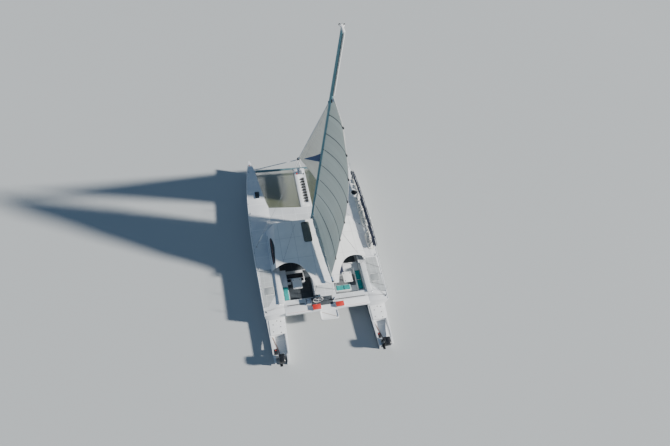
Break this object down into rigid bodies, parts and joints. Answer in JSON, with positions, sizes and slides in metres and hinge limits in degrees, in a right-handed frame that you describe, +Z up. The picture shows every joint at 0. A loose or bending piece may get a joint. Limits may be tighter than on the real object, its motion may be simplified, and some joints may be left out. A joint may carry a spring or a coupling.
{
  "type": "sailing catamaran",
  "caption": "Twin-hulled sailing day boat with bridge deck, scalloped sunshade over an open saloon, reefed mainsail, jib, bow nets and an outboard on each stern.",
  "frame": {"origin": "on the waterline, on the centreline, below the mast", "axes": "+X to starboard, +Y towards the bows, +Z up"},
  "size_m": [11.32, 20.69, 23.9042],
  "materials": {
    "gelcoat": "glossy white gelcoat",
    "nonskid": "light grey non-slip deck paint",
    "sunshade": "white awning cloth",
    "sailcloth": "light grey laminated sailcloth",
    "jibcloth": "warm grey sailcloth",
    "navy": "navy canvas",
    "spar_blue": "dark blue painted alloy",
    "net": "olive grey net",
    "alloy": "grey anodised spar",
    "steel": "polished stainless",
    "smoked": "smoked acrylic",
    "panel": "dark green-grey flexible panel",
    "grey": "grey hatch lid",
    "teal": "teal cushion cloth",
    "black_cloth": "black cushion cloth",
    "outboard_black": "black outboard paint",
    "red": "red lid",
    "white": "white paint"
  },
  "bodies": {
    "boat": {"aft_beam": "gelcoat", "aft_tray": "gelcoat", "bench_port": "gelcoat", "bench_starboard": "gelcoat", "bridge_deck": "nonskid", "coachroof": "gelcoat", "cool_box_port": "white", "cool_box_starboard": "white", "cushion_inner_seat": "teal", "cushion_port_black": "black_cloth", "cushion_port_teal": "teal", "cushion_starboard_navy": "navy", "cushion_starboard_teal": "teal", "forward_crossbeam": "alloy", "helm_pedestal": "gelcoat", "helm_seat": "navy", "hull_port": "gelcoat", "hull_starboard": "gelcoat", "inner_seat": "gelcoat", "mast": "alloy", "net_port": "net", "net_starboard": "net", "outboard_bracket_port": "outboard_black", "outboard_bracket_starboard": "outboard_black", "rail_port": "steel", "rail_starboard": "steel", "roof_panel": "panel", "sail_roll": "navy", "shade_frame": "steel", "shroud_port": "steel", "shroud_starboard": "steel", "spine_walk": "white", "spreaders": "spar_blue", "striker": "white", "sunshade_roof": "sunshade", "table_port": "white", "table_starboard": "white", "windlass": "steel"},
    "boom": {"boom": "alloy", "mainsail": "sailcloth", "mainsail_folds": "sailcloth"},
    "jib": {"jib": "jibcloth", "jib_foil": "alloy"},
    "helm_wheel": {"helm_wheel": "white"},
    "foredeck_hatch": {"foredeck_hatch": "smoked"},
    "round_hatch": {"round_hatch": "smoked"},
    "rudder_port": {"rudder_port": "gelcoat"},
    "outboard_swivel_port": {"outboard_swivel_port": "outboard_black"},
    "outboard_port": {"outboard_motor_port": "outboard_black"},
    "propeller_port": {"propeller_port": "outboard_black"},
    "deck_hatch_port": {"deck_hatch_port": "grey"},
    "stern_lid_port": {"stern_lid_port": "nonskid"},
    "cool_box_lid_port": {"cool_box_lid_port": "red"},
    "rudder_starboard": {"rudder_starboard": "gelcoat"},
    "outboard_swivel_starboard": {"outboard_swivel_starboard": "outboard_black"},
    "outboard_starboard": {"outboard_motor_starboard": "outboard_black"},
    "propeller_starboard": {"propeller_starboard": "outboard_black"},
    "deck_hatch_starboard": {"deck_hatch_starboard": "grey"},
    "stern_lid_starboard": {"stern_lid_starboard": "nonskid"},
    "cool_box_lid_starboard": {"cool_box_lid_starboard": "red"}
  },
  "joints": [
    {"name": "boom_swing", "type": "hinge", "parent": "boat", "child": "boom", "pos_m": [0, -0.29497, 4.04429], "axis": [0, -0.0209, 0.9998], "range_deg": [-60, 35]},
    {"name": "jib_swing", "type": "hinge", "parent": "boat", "child": "jib", "pos_m": [0, 7.6, 2.62], "axis": [0, -0.4725, 0.8813], "range_deg": [-55, 10]},
    {"name": "helm_wheel_turn", "type": "hinge", "parent": "boat", "child": "helm_wheel", "pos_m": [-0.85, -7.9, 2.48], "axis": [0, -0.9986, 0.0523], "range_deg": [-270, 270]},
    {"name": "foredeck_hatch_lid", "type": "hinge", "parent": "boat", "child": "foredeck_hatch", "pos_m": [-4.56, 4.37, 2], "axis": [-1, 0, 0], "range_deg": [0, 90]},
    {"name": "round_hatch_lid", "type": "hinge", "parent": "boat", "child": "round_hatch", "pos_m": [5, 3.56, 2], "axis": [-1, 0, 0], "range_deg": [0, 90]},
    {"name": "rudder_turn_port", "type": "hinge", "parent": "boat", "child": "rudder_port", "pos_m": [-4.42, -10.55, 0], "axis": [0, 0, 1], "range_deg": [-35, 35]},
    {"name": "outboard_tilt_port", "type": "hinge", "parent": "boat", "child": "outboard_swivel_port", "pos_m": [-4.42, -11.69, 1], "axis": [-1, 0, 0], "range_deg": [0, 60]},
    {"name": "outboard_steer_port", "type": "hinge", "parent": "outboard_swivel_port", "child": "outboard_port", "pos_m": [-4.42, -11.84, 1], "axis": [0, 0, 1], "range_deg": [-30, 30]},
    {"name": "propeller_spin_port", "type": "hinge", "parent": "outboard_port", "child": "propeller_port", "pos_m": [-4.42, -12.14, -0.33], "axis": [0, -1, 0], "continuous": true},
    {"name": "deck_hatch_lid_port", "type": "hinge", "parent": "boat", "child": "deck_hatch_port", "pos_m": [-4.7, -5.91, 1.94], "axis": [-1, 0, 0], "range_deg": [0, 90]},
    {"name": "stern_lid_lift_port", "type": "hinge", "parent": "boat", "child": "stern_lid_port", "pos_m": [-4.42, -8.51, 0.99], "axis": [-1, 0, 0], "range_deg": [0, 80]},
    {"name": "cool_box_lid_lift_port", "type": "hinge", "parent": "boat", "child": "cool_box_lid_port", "pos_m": [-1, -8.61, 2.17], "axis": [1, 0, 0], "range_deg": [0, 95]},
    {"name": "rudder_turn_starboard", "type": "hinge", "parent": "boat", "child": "rudder_starboard", "pos_m": [4.42, -10.55, 0], "axis": [0, 0, 1], "range_deg": [-35, 35]},
    {"name": "outboard_tilt_starboard", "type": "hinge", "parent": "boat", "child": "outboard_swivel_starboard", "pos_m": [4.42, -11.69, 1], "axis": [-1, 0, 0], "range_deg": [0, 60]},
    {"name": "outboard_steer_starboard", "type": "hinge", "parent": "outboard_swivel_starboard", "child": "outboard_starboard", "pos_m": [4.42, -11.84, 1], "axis": [0, 0, 1], "range_deg": [-30, 30]},
    {"name": "propeller_spin_starboard", "type": "hinge", "parent": "outboard_starboard", "child": "propeller_starboard", "pos_m": [4.42, -12.14, -0.33], "axis": [0, -1, 0], "continuous": true},
    {"name": "deck_hatch_lid_starboard", "type": "hinge", "parent": "boat", "child": "deck_hatch_starboard", "pos_m": [4.7, -5.91, 1.94], "axis": [-1, 0, 0], "range_deg": [0, 90]},
    {"name": "stern_lid_lift_starboard", "type": "hinge", "parent": "boat", "child": "stern_lid_starboard", "pos_m": [4.42, -8.51, 0.99], "axis": [-1, 0, 0], "range_deg": [0, 80]},
    {"name": "cool_box_lid_lift_starboard", "type": "hinge", "parent": "boat", "child": "cool_box_lid_starboard", "pos_m": [1, -8.61, 2.17], "axis": [1, 0, 0], "range_deg": [0, 95]}
  ],
  "couplings": [
    {"joint": "rudder_turn_port", "follows": "helm_wheel_turn", "ratio": 0.1296},
    {"joint": "rudder_turn_starboard", "follows": "helm_wheel_turn", "ratio": 0.1296}
  ]
}
